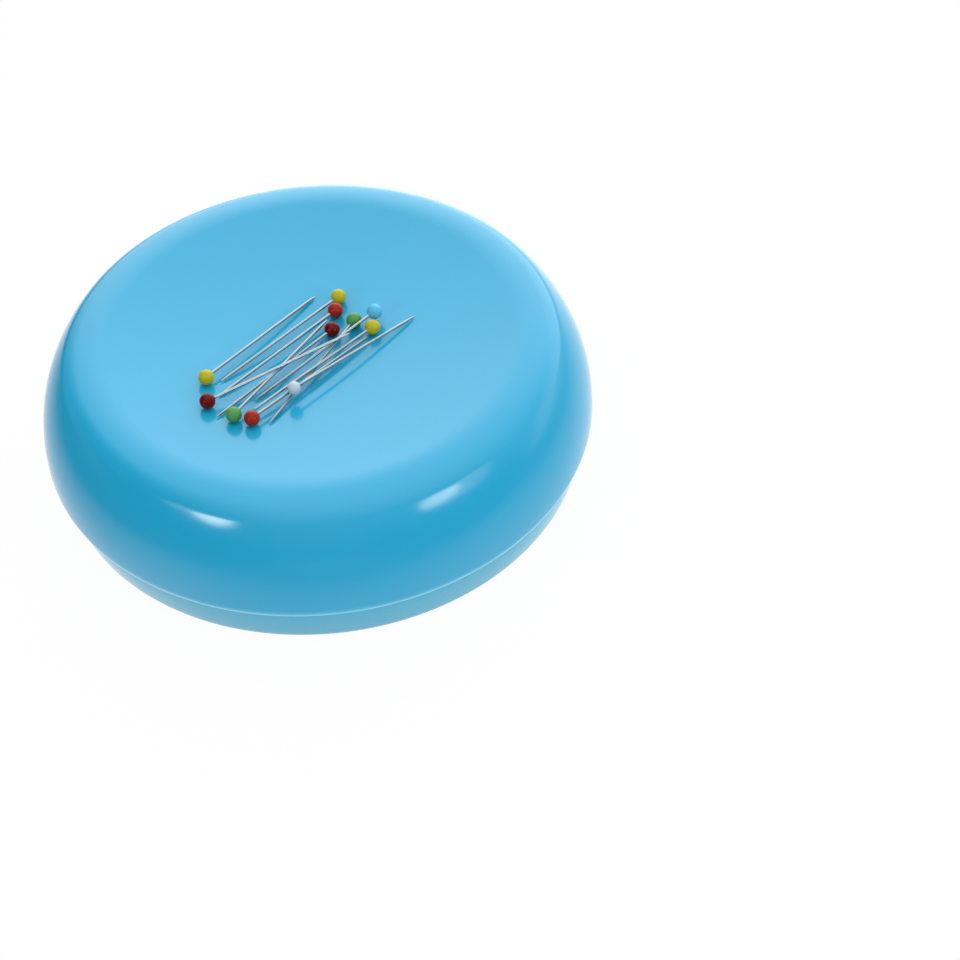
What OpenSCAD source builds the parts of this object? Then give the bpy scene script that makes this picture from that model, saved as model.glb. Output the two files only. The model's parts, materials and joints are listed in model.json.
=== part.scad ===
// Magnetic pin bowl: a round, glossy moulded dish over a ring magnet, with ball-headed pins lying on it.
// Millimetres. The origin is on the floor under the middle of the bowl, with +Z up.

/* [Bowl] */
// Widest diameter of the bowl
bowl_d = 115; // [108:1:124]
// Height from the floor to the top of the rim
bowl_h = 32.5; // [31:0.5:34]
// Height of the widest ring above the floor
widest_z = 12; // [11.3:0.1:12.7]
// Depth of the dish below the rim
dish_depth = 3; // [2.5:0.25:4]

/* [Shell] */
// Radius of the bulging flank
flank_r = 29; // [27:1:33]
// Radius of the shoulder, between the flank and the rim's crest
shoulder_r = 6; // [4:0.5:9]
// Radius of the rim's crest
rim_r = 20; // [16:1:24]
// Radius of the lip under the widest ring
lip_r = 2.3; // [2.2:0.1:3]
// Height of the lip, from the seam to the widest ring
lip_h = 1.7; // [1.4:0.1:2]
// Wall of the moulded shell
shell_wall = 2.2; // [1.8:0.1:2.6]
// Diameter of the screw bosses under the rim
boss_d = 7; // [6:0.25:7.5]
// Wall of the collar that holds the magnet, and of the webs that tie it to the bosses
collar_wall = 1.8; // [1.2:0.1:2.4]
// Depth of the collar and the webs over the magnet's side
collar_h = 6; // [4:0.5:8]

/* [Base] */
// How far the base stands in from the shell at the seam
base_step = 0.5; // [0.3:0.1:1]
// How far the base tapers in from the seam to the floor
base_taper = 1.3; // [1:0.1:2.5]
// Rounding of the base's lower edge
base_fillet = 3; // [1.5:0.25:3.5]
// Thickness of the base's floor
base_floor = 2.4; // [2:0.1:3]
// Height of the spigot that centres the shell
spigot_h = 3; // [2:0.5:5]
// Wall of the spigot
spigot_wall = 1.6; // [1.2:0.1:2.4]
// Outer diameter of the pedestal under the magnet
pedestal_d = 46; // [36:1:52]
// Wall of the pedestal
pedestal_wall = 2.4; // [1.8:0.2:4]

/* [Magnet] */
// Outer diameter of the ring magnet
magnet_d = 60; // [54:1:64]
// Bore of the ring magnet
magnet_bore = 24; // [18:1:30]
// Thickness of the ring magnet
magnet_h = 8; // [6:0.5:9]
// Thickness of the steel plate that closes the field behind the magnet
plate_t = 1; // [0.8:0.1:1.6]
// Thickness of the foam pad that presses the magnet up
pad_t = 3; // [2:0.5:4]

/* [Screws] */
// Number of case screws
screw_count = 4; // [3:1:6]
// Diameter of a case screw
screw_d = 3; // [2.5:0.1:3.2]
// Length of a case screw under its head
screw_length = 14; // [12:1:16]
// Diameter of a screw's head
screw_head_d = 5.6; // [5:0.1:6]
// Height of a screw's head
screw_head_h = 1.9; // [1.6:0.1:2.2]
// How deep the screw heads sit in the base
screw_sink = 2.8; // [2.6:0.1:3.2]

/* [Feet] */
// Diameter of a rubber foot
foot_d = 12; // [9:0.5:13]
// Thickness of a rubber foot
foot_t = 1.5; // [1.2:0.1:2]
// How far a foot stands out of the base
foot_out = 0.5; // [0.4:0.1:0.8]
// Diameter of the circle that the feet are set on
foot_circle_d = 88; // [84:1:90]

/* [Pins] */
// Length of a pin, from the end inside its ball to the point
pin_length = 33; // [31:0.5:34]
// Diameter of the wire
wire_d = 0.6; // [0.5:0.05:0.65]
// Diameter of a ball head
ball_d = 3.2; // [2.8:0.1:3.3]
// Diameter of the white ball head
small_ball_d = 2.7; // [2.4:0.1:2.9]
// Length of the ground point
point_length = 3; // [1.5:0.5:4]
// How far the wire runs past the middle of its ball
wire_seat = 0.6; // [0.3:0.1:0.9]

/* [Fits] */
// Gap between a pin and whatever it lies on
lay_gap = 0.1; // [0.06:0.01:0.15]
// Gap between pieces that are clamped, glued or pressed together
seat_gap = 0.05; // [0.03:0.01:0.1]
// Gap between pieces that slip into each other by hand
slip_gap = 0.15; // [0.1:0.05:0.25]

/* [Hidden] */
$fn = 64;
bowl_r = bowl_d / 2;
wire_r = wire_d / 2;
pin_run = pin_length - wire_seat;
seam_z = widest_z - lip_h;

// The flank's arc starts at the widest ring and runs tangent into the shoulder, and that into the rim's crest
flank_c = [bowl_r - flank_r, widest_z];
rim_cz = bowl_h - rim_r;
crest_turn = 80;
shoulder_cz = rim_cz - (shoulder_r - rim_r) * sin(crest_turn);
shoulder_turn = asin((shoulder_cz - widest_z) / (flank_r - shoulder_r));
shoulder_c = [flank_c.x + (flank_r - shoulder_r) * cos(shoulder_turn), shoulder_cz];
rim_c = [shoulder_c.x + (shoulder_r - rim_r) * cos(crest_turn), rim_cz];
lip_c = [bowl_r - lip_r, widest_z];
lip_turn = asin(lip_h / lip_r);
seam_r = lip_c.x + lip_r * cos(lip_turn);

// The dish is one shallow arc about a centre high above, tangent to the rim's crest
rim_to_dish = (rim_c.x * rim_c.x + dish_depth * dish_depth) / (2 * dish_depth);
dish_r = rim_to_dish - rim_r;
dish_c = [0, bowl_h - dish_depth + dish_r];
dish_slope = asin(rim_c.x / rim_to_dish);

// The inside of the shell is drawn straight up from the seam, so that it leaves the mould
land_r = seam_r - shell_wall;
land_turn = acos((land_r - flank_c.x) / (flank_r - shell_wall));

// The base
base_z = foot_out;
floor_z = base_z + base_floor;
base_top_r = seam_r - base_step;
base_low_r = base_top_r - base_taper;
base_top = [base_top_r, seam_z - seat_gap];
fillet_c = [base_low_r - base_fillet, base_z + base_fillet];
fillet_reach = base_top - fillet_c;
fillet_turn = atan2(fillet_reach.y, fillet_reach.x) - acos(base_fillet / norm(fillet_reach));
spigot_r = land_r - slip_gap;

// The stack under the dish: magnet, plate, pad and pedestal
magnet_top = under_z(magnet_bore / 2) - seat_gap;
magnet_z = magnet_top - magnet_h;
plate_z = magnet_z - seat_gap - plate_t;
pad_z = plate_z - seat_gap - pad_t;
pedestal_top = pad_z - seat_gap;
collar_r = magnet_d / 2 + slip_gap;

// The case screws, on the circle where the rim is highest
screw_circle_r = rim_c.x;
screw_seat_z = base_z + screw_sink;
boss_z = widest_z;
boss_top = bowl_h - 0.7 * shell_wall;
post_top = boss_z - seat_gap;
post_d = screw_head_d + 3;
hole_d = screw_d + 2 * slip_gap;
pilot_d = screw_d + 2 * seat_gap;
pilot_top = screw_seat_z + screw_length + 1;
sink_d = screw_head_d + 4 * slip_gap;
slot_w = 0.9;
slot_length = 3.2;
slot_depth = 1;

foot_chamfer = 0.3;
FEET = [["foot_front_right", -45], ["foot_back_right", 45], ["foot_back_left", 135], ["foot_front_left", -135]];

// Each pin: name, colour, place of its middle on the dish, heading of the point, ball diameter,
// the pins that it lies over, and what they raise: "point", "head", or "ball" for a ball on their wires
PINS = [
    ["yellow_left", "gold", [-10.2, 0.85], 50, ball_d, [], "point"],
    ["yellow_back", "gold", [-6.05, 0.3], -135.5, ball_d, [], "point"],
    ["orange_back", "orangered", [-6.45, -4], -134.5, ball_d, [], "point"],
    ["wine_mid", "darkred", [-6.75, -10], -133, ball_d, [], "point"],
    ["green_back", "yellowgreen", [0.7, -9.9], -120, ball_d, [], "point"],
    ["pale_blue", "powderblue", [1.25, -6], -137, ball_d, ["green_back"], "head"],
    ["green_front", "yellowgreen", [-5.7, -9.35], 57, ball_d, ["wine_mid"], "point"],
    ["wine_left", "darkred", [-6.1, -10.3], 31.5, ball_d,
        ["green_front", "wine_mid", "pale_blue", "green_back"], "point"],
    ["orange_front", "orangered", [0.25, -12.4], 46.5, ball_d, ["green_back"], "point"],
    ["yellow_right", "gold", [1.15, -9.8], -135, ball_d, ["green_back"], "point"],
    ["white", "white", [9.05, -6.1], 43, small_ball_d, ["orange_front", "yellow_right", "green_back"], "ball"],
];

// Points of an arc about c from angle a to angle b, both ends included
function arc(c, r, a, b, steps) = [for (i = [0:steps]) c + r * [cos(a + (b - a) * i / steps), sin(a + (b - a) * i / steps)]];

// Height of the dish's surface, and of the shell's underside, at a distance from the middle
function dish_z(r) = dish_c.y - sqrt(dish_r * dish_r - r * r);
function under_z(r) = dish_c.y - sqrt(pow(dish_r + shell_wall, 2) - r * r);
function mid_wall_z(r) = (dish_z(r) + under_z(r)) / 2;

function shell_profile() = concat(
    arc(lip_c, lip_r, -lip_turn, 0, 4),
    arc(flank_c, flank_r, 0, shoulder_turn, 12),
    arc(shoulder_c, shoulder_r, shoulder_turn, crest_turn, 8),
    arc(rim_c, rim_r, crest_turn, 90 + dish_slope, 6),
    arc(dish_c, dish_r, -90 + dish_slope, -90, 10),
    arc(dish_c, dish_r + shell_wall, -90, -90 + dish_slope, 10),
    arc(rim_c, rim_r - shell_wall, 90 + dish_slope, crest_turn, 6),
    arc(shoulder_c, shoulder_r - shell_wall, crest_turn, shoulder_turn, 8),
    arc(flank_c, flank_r - shell_wall, shoulder_turn, land_turn, 8),
    [[land_r, seam_z]]
);

function base_profile() = concat(
    [[0, base_z]],
    arc(fillet_c, base_fillet, -90, fillet_turn, 6),
    [base_top, [spigot_r, base_top.y], [spigot_r, seam_z + spigot_h]],
    [[spigot_r - spigot_wall, seam_z + spigot_h], [spigot_r - spigot_wall, floor_z], [0, floor_z]]
);

module at_screws() for (i = [0:screw_count - 1])
    rotate(i * 360 / screw_count) translate([screw_circle_r, 0, 0]) children();

module magnet_collar() {
    collar_z = magnet_top - collar_h;
    outer_r = collar_r + collar_wall;
    rotate_extrude() polygon([
        [collar_r, collar_z], [outer_r, collar_z], [outer_r, mid_wall_z(outer_r)], [collar_r, mid_wall_z(collar_r)]
    ]);
    // Webs from the collar to the bosses
    inner_r = collar_r + collar_wall / 2;
    reach_r = screw_circle_r - (pilot_d + boss_d) / 4;
    for (i = [0:screw_count - 1]) rotate([90, 0, i * 360 / screw_count])
        linear_extrude(collar_wall, center = true) polygon([
            [inner_r, collar_z], [reach_r, collar_z], [reach_r, mid_wall_z(reach_r)], [inner_r, mid_wall_z(inner_r)]
        ]);
}

module top_shell() color("deepskyblue") difference() {
    union() {
        rotate_extrude($fn = 128) polygon(shell_profile());
        magnet_collar();
        at_screws() translate([0, 0, boss_z]) cylinder(d = boss_d, h = boss_top - boss_z);
    }
    at_screws() translate([0, 0, boss_z - 1]) cylinder(d = pilot_d, h = pilot_top - boss_z + 1);
}

module base_cover() color("deepskyblue") difference() {
    union() {
        rotate_extrude($fn = 128) polygon(base_profile());
        at_screws() translate([0, 0, floor_z - 1]) cylinder(d = post_d, h = post_top - floor_z + 1);
        pedestal();
    }
    at_screws() {
        translate([0, 0, base_z - 1]) cylinder(d = sink_d, h = screw_sink + 1);
        translate([0, 0, base_z]) cylinder(d = hole_d, h = post_top);
    }
    for (foot = FEET) rotate(foot[1]) translate([foot_circle_d / 2, 0, base_z - 1])
        cylinder(d = foot_d + 2 * slip_gap, h = foot_t - foot_out + seat_gap + 1);
}

module pedestal() difference() {
    translate([0, 0, floor_z - 1]) cylinder(d = pedestal_d, h = pedestal_top - floor_z + 1);
    translate([0, 0, floor_z]) cylinder(d = pedestal_d - 2 * pedestal_wall, h = pedestal_top);
}

module ring_magnet() color("dimgray") translate([0, 0, magnet_z]) difference() {
    cylinder(d = magnet_d, h = magnet_h);
    translate([0, 0, -1]) cylinder(d = magnet_bore, h = magnet_h + 2);
}

module back_plate() color("silver") translate([0, 0, plate_z]) cylinder(d = magnet_d, h = plate_t);

module foam_pad() color("darkslategray") translate([0, 0, pad_z]) cylinder(d = pedestal_d, h = pad_t);

module case_screws() color("silver") at_screws() translate([0, 0, screw_seat_z]) difference() {
    union() {
        translate([0, 0, -seat_gap - screw_head_h]) cylinder(d = screw_head_d, h = screw_head_h);
        translate([0, 0, -2 * seat_gap]) cylinder(d = screw_d, h = screw_length + 2 * seat_gap);
    }
    // Cross recess in the head
    for (turn = [0, 90]) rotate(turn) translate([0, 0, -seat_gap - screw_head_h])
        cube([slot_length, slot_w, 2 * slot_depth], center = true);
}

module foot(turn) color("gray") rotate(turn) translate([foot_circle_d / 2, 0, 0]) rotate_extrude()
    polygon([[0, 0], [foot_d / 2 - foot_chamfer, 0], [foot_d / 2, foot_chamfer], [foot_d / 2, foot_t], [0, foot_t]]);

// A pin's own values: its direction in plan, and where its ball's middle and its point are
function ball_r(pin) = pin[4] / 2;
function along(pin) = [cos(pin[3]), sin(pin[3])];
function ball_at(pin) = pin[2] - pin_run / 2 * along(pin);
function point_at(pin) = pin[2] + pin_run / 2 * along(pin);
function pin_of(name) = [for (pin = PINS) if (pin[0] == name) pin][0];

// Height of the middle of something of radius r that lies on the dish at p
function lie_z(p, r) = dish_c.y - sqrt(pow(dish_r - r - lay_gap, 2) - p.x * p.x - p.y * p.y);

// Where one pin crosses another in plan: the share of its run there, and the height that its wire needs
function over(pin, other) = let (
    d = along(pin),
    e = along(other),
    w = ball_at(other) - ball_at(pin),
    n = d.x * e.y - d.y * e.x,
    share = (w.x * e.y - w.y * e.x) / n / pin_run,
    other_share = (w.x * d.y - w.y * d.x) / n / pin_run,
    z = ends(other)
) [share, z[0] + (z[1] - z[0]) * other_share + wire_d + lay_gap];

// Height of a ball's middle that rests on another pin's wire
function on_wire(pin, other) = let (
    e = along(other),
    w = ball_at(pin) - ball_at(other),
    off = w.x * e.y - w.y * e.x,
    z = ends(other)
) z[0] + (z[1] - z[0]) * (w * e) / pin_run + sqrt(pow(ball_r(pin) + wire_r + lay_gap, 2) - off * off);

// Heights of a pin's head and point
function ends(pin) = let (
    z_head = lie_z(ball_at(pin), ball_r(pin)),
    z_point = lie_z(point_at(pin), wire_r),
    below = [for (name = pin[5]) pin_of(name)],
    crossings = pin[6] == "ball" ? [] : [for (other = below) over(pin, other)]
) pin[6] == "point" ? [z_head, max([z_point, for (c = crossings) z_head + (c[1] - z_head) / c[0]])]
    : pin[6] == "head" ? [max([z_head, for (c = crossings) z_point + (c[1] - z_point) / (1 - c[0])]), z_point]
    : [max([z_head, for (other = below) on_wire(pin, other)]), z_point];

// Puts a pin that points along +Z, with its ball's middle at the origin, on the dish
module lay(pin) {
    place = ball_at(pin);
    z = ends(pin);
    translate([place.x, place.y, z[0]]) rotate([0, 90 + asin((z[0] - z[1]) / pin_run), pin[3]]) children();
}

module pin_shaft(pin) color("silver") lay(pin) {
    start = -wire_seat + seat_gap;
    translate([0, 0, start]) cylinder(d = wire_d, h = pin_run - point_length - start, $fn = 24);
    translate([0, 0, pin_run - point_length]) cylinder(d1 = wire_d, d2 = wire_d / 8, h = point_length, $fn = 24);
}

module pin_head(pin) color(pin[1]) lay(pin) difference() {
    sphere(d = pin[4], $fn = 32);
    translate([0, 0, -wire_seat]) cylinder(d = wire_d + seat_gap, h = pin[4], $fn = 24);
}

top_shell();
base_cover();
ring_magnet();
back_plate();
foam_pad();
case_screws();
for (f = FEET) foot(f[1]);
for (pin = PINS) pin_shaft(pin);
for (pin = PINS) pin_head(pin);
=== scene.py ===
"""Looks of the magnetic pin bowl: smooth forms, finishes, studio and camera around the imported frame.

The moulded shell, its base, the magnet stack, the screws, the feet and every loose pin are modelled
here again as smooth meshes, each in the place of its node of the frame, and each gets its finish.
"""

import json
import logging
import math
from dataclasses import dataclass
from enum import Enum
from itertools import pairwise

import bpy
from mathutils import Matrix, Vector

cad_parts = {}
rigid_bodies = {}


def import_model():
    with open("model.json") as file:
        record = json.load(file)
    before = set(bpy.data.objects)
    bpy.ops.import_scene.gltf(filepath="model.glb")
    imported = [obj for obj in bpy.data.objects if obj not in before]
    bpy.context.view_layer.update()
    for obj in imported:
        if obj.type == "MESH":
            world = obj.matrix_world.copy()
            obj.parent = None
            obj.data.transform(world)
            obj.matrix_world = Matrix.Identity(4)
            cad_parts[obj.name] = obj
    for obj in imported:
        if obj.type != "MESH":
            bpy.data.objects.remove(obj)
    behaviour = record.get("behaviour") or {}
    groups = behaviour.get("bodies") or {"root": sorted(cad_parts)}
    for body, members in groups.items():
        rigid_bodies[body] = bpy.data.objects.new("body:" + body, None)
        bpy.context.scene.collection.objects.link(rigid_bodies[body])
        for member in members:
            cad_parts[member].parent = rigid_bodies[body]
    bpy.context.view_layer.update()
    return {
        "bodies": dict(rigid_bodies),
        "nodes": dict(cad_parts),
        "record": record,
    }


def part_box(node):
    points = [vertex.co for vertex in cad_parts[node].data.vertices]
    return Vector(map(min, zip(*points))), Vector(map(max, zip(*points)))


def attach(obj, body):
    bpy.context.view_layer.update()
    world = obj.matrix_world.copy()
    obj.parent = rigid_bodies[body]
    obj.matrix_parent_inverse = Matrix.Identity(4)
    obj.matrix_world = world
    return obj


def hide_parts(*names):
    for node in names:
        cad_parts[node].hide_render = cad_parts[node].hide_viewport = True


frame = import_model()

MM = 0.001
MERGE = 1e-7  # points nearer than this are one
PAST = 1 * MM  # how far a cutting or sunk body runs past a surface
EDGE_STEPS = 5  # stretches in the rounding of a small edge
ROUND_TURNS = 96  # stretches in a full turn of the forms inside the bowl
NOISE_MIDDLE = (0.25, 0.75)  # the range that most of a noise falls in
NOISE_DETAIL = 3  # octaves of finer noise
LOG = logging.getLogger("pin_bowl")

Point = tuple[float, float]
Colour = tuple[float, float, float]
Socket = bpy.types.NodeSocket


# Mesh tools

class Boolean(Enum):
    """What a tool body does to a piece."""

    JOIN = "UNION"
    CUT = "DIFFERENCE"


def deselect_all() -> None:
    """Leaves nothing selected, so that an operator acts on the new piece alone."""
    if bpy.context.object and bpy.context.object.mode != "OBJECT":
        bpy.ops.object.mode_set(mode="OBJECT")
    bpy.ops.object.select_all(action="DESELECT")


def choose(piece: bpy.types.Object) -> None:
    """Makes a piece the only selected one, and the active one.

    Args:
        piece: the object that is chosen.
    """
    deselect_all()
    piece.select_set(True)
    bpy.context.view_layer.objects.active = piece


def settle(piece: bpy.types.Object, name: str, sharp: float = 32) -> bpy.types.Object:
    """Puts a piece's place into its mesh, turns its faces outwards and shades it.

    Args:
        piece: the modelled mesh object.
        name: what the piece is called.
        sharp: the angle in degrees past which an edge stays hard.

    Returns:
        The same object, at the origin.
    """
    choose(piece)
    bpy.ops.object.transform_apply(location=True, rotation=True, scale=True)
    bpy.ops.object.mode_set(mode="EDIT")
    bpy.ops.mesh.select_all(action="SELECT")
    bpy.ops.mesh.remove_doubles(threshold=MERGE)
    bpy.ops.mesh.normals_make_consistent(inside=False)
    bpy.ops.object.mode_set(mode="OBJECT")
    bpy.ops.object.shade_smooth_by_angle(angle=math.radians(sharp))
    piece.name = name
    piece.data.name = name
    return piece


def apply_modifier(piece: bpy.types.Object, name: str, kind: str, **values: object) -> None:
    """Adds one modifier with its values and applies it.

    Args:
        piece: the object that is changed.
        name: the modifier's name.
        kind: the modifier's type.
        **values: its settings.
    """
    choose(piece)
    modifier = piece.modifiers.new(name, kind)
    for key, value in values.items():
        setattr(modifier, key, value)
    bpy.ops.object.modifier_apply(modifier=name)


def combine(piece: bpy.types.Object, tool: bpy.types.Object, action: Boolean) -> None:
    """Joins a tool body to a piece, or cuts it out, and deletes the tool.

    Args:
        piece: the object that keeps the result.
        tool: the object that is added or cut away.
        action: what the tool does.
    """
    apply_modifier(piece, action.name, "BOOLEAN", operation=action.value, object=tool, solver="EXACT")
    bpy.data.objects.remove(tool)


def arc(centre: Point, radius: float, start: float, end: float, steps: int) -> list[Point]:
    """Points of an arc in the outline's plane, both ends included.

    Args:
        centre: the arc's centre, as radius from the axis and height.
        radius: the arc's radius.
        start: the first angle in degrees.
        end: the last angle in degrees.
        steps: the number of stretches.

    Returns:
        The points in order.
    """
    angles = [math.radians(start + (end - start) * i / steps) for i in range(steps + 1)]
    return [(centre[0] + radius * math.cos(a), centre[1] + radius * math.sin(a)) for a in angles]


def lathe(outline: list[Point], steps: int) -> bpy.types.Object:
    """Spins a closed outline about the vertical axis.

    Args:
        outline: points as radius and height, in metres, in order round the section.
        steps: the number of stretches in the full turn.

    Returns:
        A closed mesh object.
    """
    deselect_all()
    bpy.ops.mesh.primitive_plane_add(size=MM, location=(outline[0][0], 0, outline[0][1]))
    piece = bpy.context.object
    bpy.ops.object.mode_set(mode="EDIT")
    bpy.ops.mesh.select_all(action="SELECT")
    bpy.ops.mesh.merge(type="CENTER")
    ring = outline + outline[:1]
    for (r0, z0), (r1, z1) in pairwise(ring):
        bpy.ops.mesh.extrude_vertices_move(TRANSFORM_OT_translate={"value": (r1 - r0, 0, z1 - z0)})
    bpy.ops.mesh.select_all(action="SELECT")
    bpy.ops.mesh.remove_doubles(threshold=MERGE)
    bpy.ops.mesh.select_all(action="SELECT")
    bpy.ops.mesh.spin(steps=steps, angle=math.tau, center=(0, 0, 0), axis=(0, 0, 1))
    bpy.ops.mesh.select_all(action="SELECT")
    bpy.ops.mesh.remove_doubles(threshold=MERGE)
    bpy.ops.mesh.delete_loose()
    bpy.ops.mesh.select_all(action="SELECT")
    bpy.ops.mesh.dissolve_degenerate(threshold=MERGE)
    bpy.ops.mesh.normals_make_consistent(inside=False)
    bpy.ops.object.mode_set(mode="OBJECT")
    return piece


def rod(radius: float, low: float, high: float, place: Vector, sides: int = 48) -> bpy.types.Object:
    """An upright closed cylinder.

    Args:
        radius: its radius.
        low: the height of its lower end.
        high: the height of its upper end.
        place: the point of its axis in plan.
        sides: the number of sides.

    Returns:
        The mesh object.
    """
    deselect_all()
    middle = (place.x, place.y, (low + high) / 2)
    bpy.ops.mesh.primitive_cylinder_add(vertices=sides, radius=radius, depth=high - low, location=middle)
    return bpy.context.object


def on_circle(radius: float, degrees: float) -> Vector:
    """A point on a circle about the axis."""
    return Vector((radius * math.cos(math.radians(degrees)), radius * math.sin(math.radians(degrees)), 0))


# Finishes

@dataclass(frozen=True)
class PaintedEdgeHighlight:
    """Painted highlight: a lighter colour painted along the lower edge of a moulding, standing in for the
    bright line of light there.

    Attributes:
        colour: linear colour of the painted highlight at the edge.
        top_z: height at which it starts.
        low_z: height from which it is full.
    """

    colour: Colour
    top_z: float
    low_z: float


class Curve(Enum):
    """How a mapped value runs between its ends."""

    STRAIGHT = "LINEAR"
    SOFT = "SMOOTHSTEP"


class Tree:
    """The node tree of a material or a world, with short ways to add and join nodes."""

    def __init__(self, owner: bpy.types.Material | bpy.types.World) -> None:
        """Turns the owner's nodes on."""
        owner.use_nodes = True
        self.tree = owner.node_tree

    def add(self, kind: str, **values: object) -> bpy.types.Node:
        """Adds a node and sets its properties.

        Args:
            kind: the node's type.
            **values: its properties.

        Returns:
            The node.
        """
        node = self.tree.nodes.new(kind)
        for key, value in values.items():
            setattr(node, key, value)
        return node

    def clear(self) -> None:
        """Removes the nodes that a new tree comes with."""
        self.tree.nodes.clear()

    def join(self, output: Socket, target: Socket) -> None:
        """Links an output to an input."""
        self.tree.links.new(output, target)

    def axes(self, output: str) -> list[Socket]:
        """X, Y and Z of an output of Texture Coordinate.

        Args:
            output: the output's name.

        Returns:
            The three values.
        """
        split = self.add("ShaderNodeSeparateXYZ")
        self.join(self.add("ShaderNodeTexCoord").outputs[output], split.inputs["Vector"])
        return list(split.outputs)

    def remap(self, value: Socket, span: Point, levels: Point, curve: Curve) -> Socket:
        """Maps a value from one range to another.

        Args:
            value: the value.
            span: the range that it comes from.
            levels: the range that it goes to.
            curve: how it runs between the ends.

        Returns:
            The mapped value.
        """
        node = self.add("ShaderNodeMapRange", interpolation_type=curve.value)
        names = ("From Min", "From Max", "To Min", "To Max")
        for name, number in zip(names, (*span, *levels)):
            node.inputs[name].default_value = number
        self.join(value, node.inputs["Value"])
        return node.outputs["Result"]

    def reckon(self, operation: str, *values: Socket) -> Socket:
        """The result of a Math node on some values.

        Args:
            operation: what the node does.
            *values: its inputs in order.

        Returns:
            The result.
        """
        node = self.add("ShaderNodeMath", operation=operation)
        for value, socket in zip(values, node.inputs):
            self.join(value, socket)
        return node.outputs[0]

    def rays(self, *kinds: str) -> Socket:
        """1 for rays of some kinds, and 0 for all others.

        Args:
            *kinds: outputs of Light Path.

        Returns:
            The value.
        """
        path = self.add("ShaderNodeLightPath").outputs
        found, *rest = [path[kind] for kind in kinds]
        for other in rest:
            found = self.reckon("MAXIMUM", found, other)
        return found

    def show(self, share: Socket, first: Socket, second: Socket, kind: str) -> None:
        """Mixes two shaders and joins the mix to a new output.

        Args:
            share: share of the second shader.
            first: the first shader.
            second: the second shader.
            kind: the output's type.
        """
        mix = self.add("ShaderNodeMixShader")
        for value, socket in zip((share, first, second), mix.inputs):
            self.join(value, socket)
        self.join(mix.outputs[0], self.add(kind).inputs["Surface"])


class Surface(Tree):
    """A new material with a Principled shader, whose patterns follow the piece's own coordinates."""

    def __init__(self, name: str) -> None:
        """Starts the material under its name.

        Args:
            name: the material's name.
        """
        self.material = bpy.data.materials.new(name)
        super().__init__(self.material)
        self.shader = self.tree.nodes["Principled BSDF"]
        self.own = self.add("ShaderNodeTexCoord").outputs["Object"]

    def noise(self, scale: float) -> Socket:
        """Noise on the piece.

        Args:
            scale: spots in each metre.

        Returns:
            The noise's value.
        """
        node = self.add("ShaderNodeTexNoise")
        node.inputs["Scale"].default_value = scale
        node.inputs["Detail"].default_value = NOISE_DETAIL
        self.join(self.own, node.inputs["Vector"])
        return node.outputs["Fac"]

    def spread(self, noise: Socket, levels: Point) -> Socket:
        """Maps a noise's middle range to two levels."""
        return self.remap(noise, NOISE_MIDDLE, levels, Curve.STRAIGHT)

    def tint(self, value: Socket, colours: list[Colour]) -> None:
        """Colours the shader by a value between two colours.

        Args:
            value: a value from 0 to 1.
            colours: the colours at both ends.
        """
        ramp = self.add("ShaderNodeValToRGB")
        for element, colour in zip(ramp.color_ramp.elements, colours):
            element.color = (*colour, 1)
        self.join(value, ramp.inputs["Fac"])
        self.join(ramp.outputs["Color"], self.shader.inputs["Base Color"])

    def paint_edge_highlight(self, edge: PaintedEdgeHighlight) -> None:
        """Paints a highlight into the shader's colour, lightening it towards a lower edge.

        Args:
            edge: the painted highlight's colour and heights.
        """
        height = self.axes("Object")[2]
        share = self.remap(height, (edge.top_z, edge.low_z), (0, 1), Curve.SOFT)
        blend = self.add("ShaderNodeMix", data_type="RGBA")
        base = self.shader.inputs["Base Color"]
        ends = [socket for socket in blend.inputs if socket.type == "RGBA"]
        self.join(share, blend.inputs[0])
        self.join(base.links[0].from_socket, ends[0])
        ends[1].default_value = (*edge.colour, 1)
        self.join(next(out for out in blend.outputs if out.type == "RGBA"), base)

    def bump(self, value: Socket, height: float) -> None:
        """Raises the surface by a value.

        Args:
            value: the height map.
            height: the full height in metres.
        """
        node = self.add("ShaderNodeBump")
        node.inputs["Distance"].default_value = height
        node.inputs["Strength"].default_value = 1
        self.join(value, node.inputs["Height"])
        self.join(node.outputs["Normal"], self.shader.inputs["Normal"])


def shade(colour: Colour, factor: float) -> Colour:
    """A colour, lighter or darker by a factor."""
    return tuple(min(1.0, c * factor) for c in colour)


@dataclass(frozen=True)
class Finish:
    """How one material of the object looks.

    Attributes:
        name: the material's name.
        colour: linear base colour.
        variation: share by which the colour wanders.
        wander: spots of that in each metre.
        roughness: least and greatest roughness.
        grain: spots of fine relief in each metre.
        relief: height of the relief in metres.
        settings: uniform values of the shader's own sockets.
        painted_edge_highlight: a highlight painted along the lower edge, if there is one.
    """

    name: str
    colour: Colour
    variation: float
    wander: float
    roughness: tuple[float, float]
    grain: float
    relief: float
    settings: dict[str, float]
    painted_edge_highlight: PaintedEdgeHighlight | None = None

    def material(self) -> bpy.types.Material:
        """Makes the material, or finds it if it's there.

        Returns:
            The material.
        """
        found = bpy.data.materials.get(self.name)
        if found:
            return found
        surface = Surface(self.name)
        ends = [shade(self.colour, 1 - self.variation), shade(self.colour, 1 + self.variation)]
        surface.tint(surface.spread(surface.noise(self.wander), (0, 1)), ends)
        # painted highlight: the base colour is lightened towards the lower edge
        if self.painted_edge_highlight:
            surface.paint_edge_highlight(self.painted_edge_highlight)
        fine = surface.noise(self.grain)
        surface.join(surface.spread(fine, self.roughness), surface.shader.inputs["Roughness"])
        surface.bump(fine, self.relief)
        for socket, value in self.settings.items():
            surface.shader.inputs[socket].default_value = value
        return surface.material


def milky(weight: float) -> dict[str, float]:
    """Settings of a ball that light sinks into, by the share of it that does."""
    return {"Specular IOR Level": 0.2, "Subsurface Weight": weight, "Subsurface Scale": 0.6 * MM}


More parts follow.
